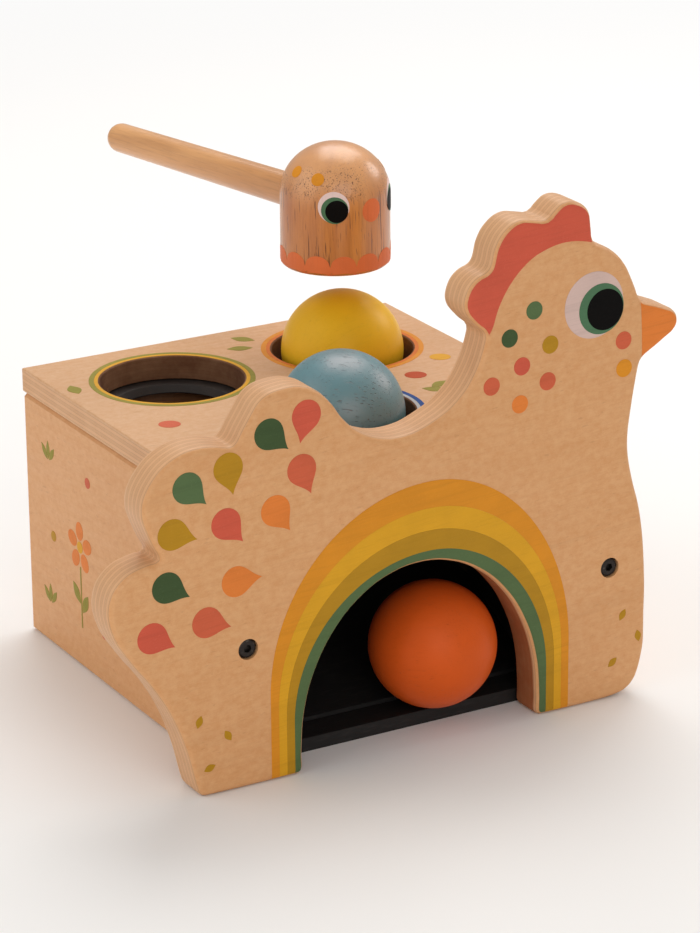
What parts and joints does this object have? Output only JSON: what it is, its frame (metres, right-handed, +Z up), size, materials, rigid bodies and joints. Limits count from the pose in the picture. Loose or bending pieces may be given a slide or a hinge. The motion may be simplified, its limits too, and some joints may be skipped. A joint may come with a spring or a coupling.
{
  "type": "hammer and ball toy box",
  "caption": "Wooden pounding toy: a box with ball holes behind a hen-shaped panel with an arch where balls roll out, and a bird-headed hammer.",
  "frame": {"origin": "underside of the base board, at the middle of the box", "axes": "+Z up, +X towards the hen's beak, -Y out of the hen panel towards the viewer"},
  "size_m": [0.2204, 0.2553, 0.1853],
  "materials": {
    "panel_plywood": "satin lacquered birch plywood with printed colours",
    "box_plywood": "satin lacquered birch plywood with printed colours",
    "inner_plywood": "raw plywood",
    "black_stained_wood": "matt black stain",
    "peg_wood": "raw beech",
    "toasted_wood": "satin lacquer over dark grain",
    "handle_wood": "satin lacquer",
    "rubber_ring": "matt",
    "dark_steel": "black oxide",
    "yellow_paint": "satin paint on wood",
    "blue_paint": "satin paint on wood",
    "orange_paint": "satin paint on wood"
  },
  "bodies": {
    "toy_box": {"hen_panel": "panel_plywood", "head_end_wall": "box_plywood", "tail_end_wall": "box_plywood", "back_wall": "box_plywood", "top_board": "box_plywood", "ring_board": "inner_plywood", "ring_head_side": "rubber_ring", "ring_tail_side": "rubber_ring", "ring_front": "rubber_ring", "base_board": "black_stained_wood", "ball_ramp": "black_stained_wood", "ramp_batten": "inner_plywood", "guide_head_side": "black_stained_wood", "guide_tail_side": "black_stained_wood", "panel_screw_head_end": "dark_steel", "panel_screw_tail_end": "dark_steel", "panel_dowel_head_low": "peg_wood", "panel_dowel_head_high": "peg_wood", "panel_dowel_tail_low": "peg_wood", "panel_dowel_tail_high": "peg_wood", "back_dowel_head_low": "peg_wood", "back_dowel_head_high": "peg_wood", "back_dowel_tail_low": "peg_wood", "back_dowel_tail_high": "peg_wood", "top_dowel_head_front": "peg_wood", "top_dowel_head_back": "peg_wood", "top_dowel_tail_front": "peg_wood", "top_dowel_tail_back": "peg_wood"},
    "yellow_ball": {"yellow_ball": "yellow_paint"},
    "blue_ball": {"blue_ball": "blue_paint"},
    "orange_ball": {"orange_ball": "orange_paint"},
    "hammer": {"hammer_head": "toasted_wood", "hammer_handle": "handle_wood"}
  },
  "joints": [
    {"name": "yellow_ball_drop", "type": "slide", "parent": "toy_box", "child": "yellow_ball", "axis": [0, 0, -1], "range_m": [0, 0.0518], "deforming": ["ring_head_side"]},
    {"name": "blue_ball_drop", "type": "slide", "parent": "toy_box", "child": "blue_ball", "axis": [0, 0, -1], "range_m": [0, 0.064], "deforming": ["ring_front"]},
    {"name": "orange_ball_roll", "type": "slide", "parent": "toy_box", "child": "orange_ball", "axis": [0, -0.9991, -0.0417], "range_m": [0, 0.12]},
    {"name": "hammer_strike", "type": "slide", "parent": "toy_box", "child": "hammer", "axis": [0, 0, 1], "range_m": [-0.0115, 0.05]}
  ]
}
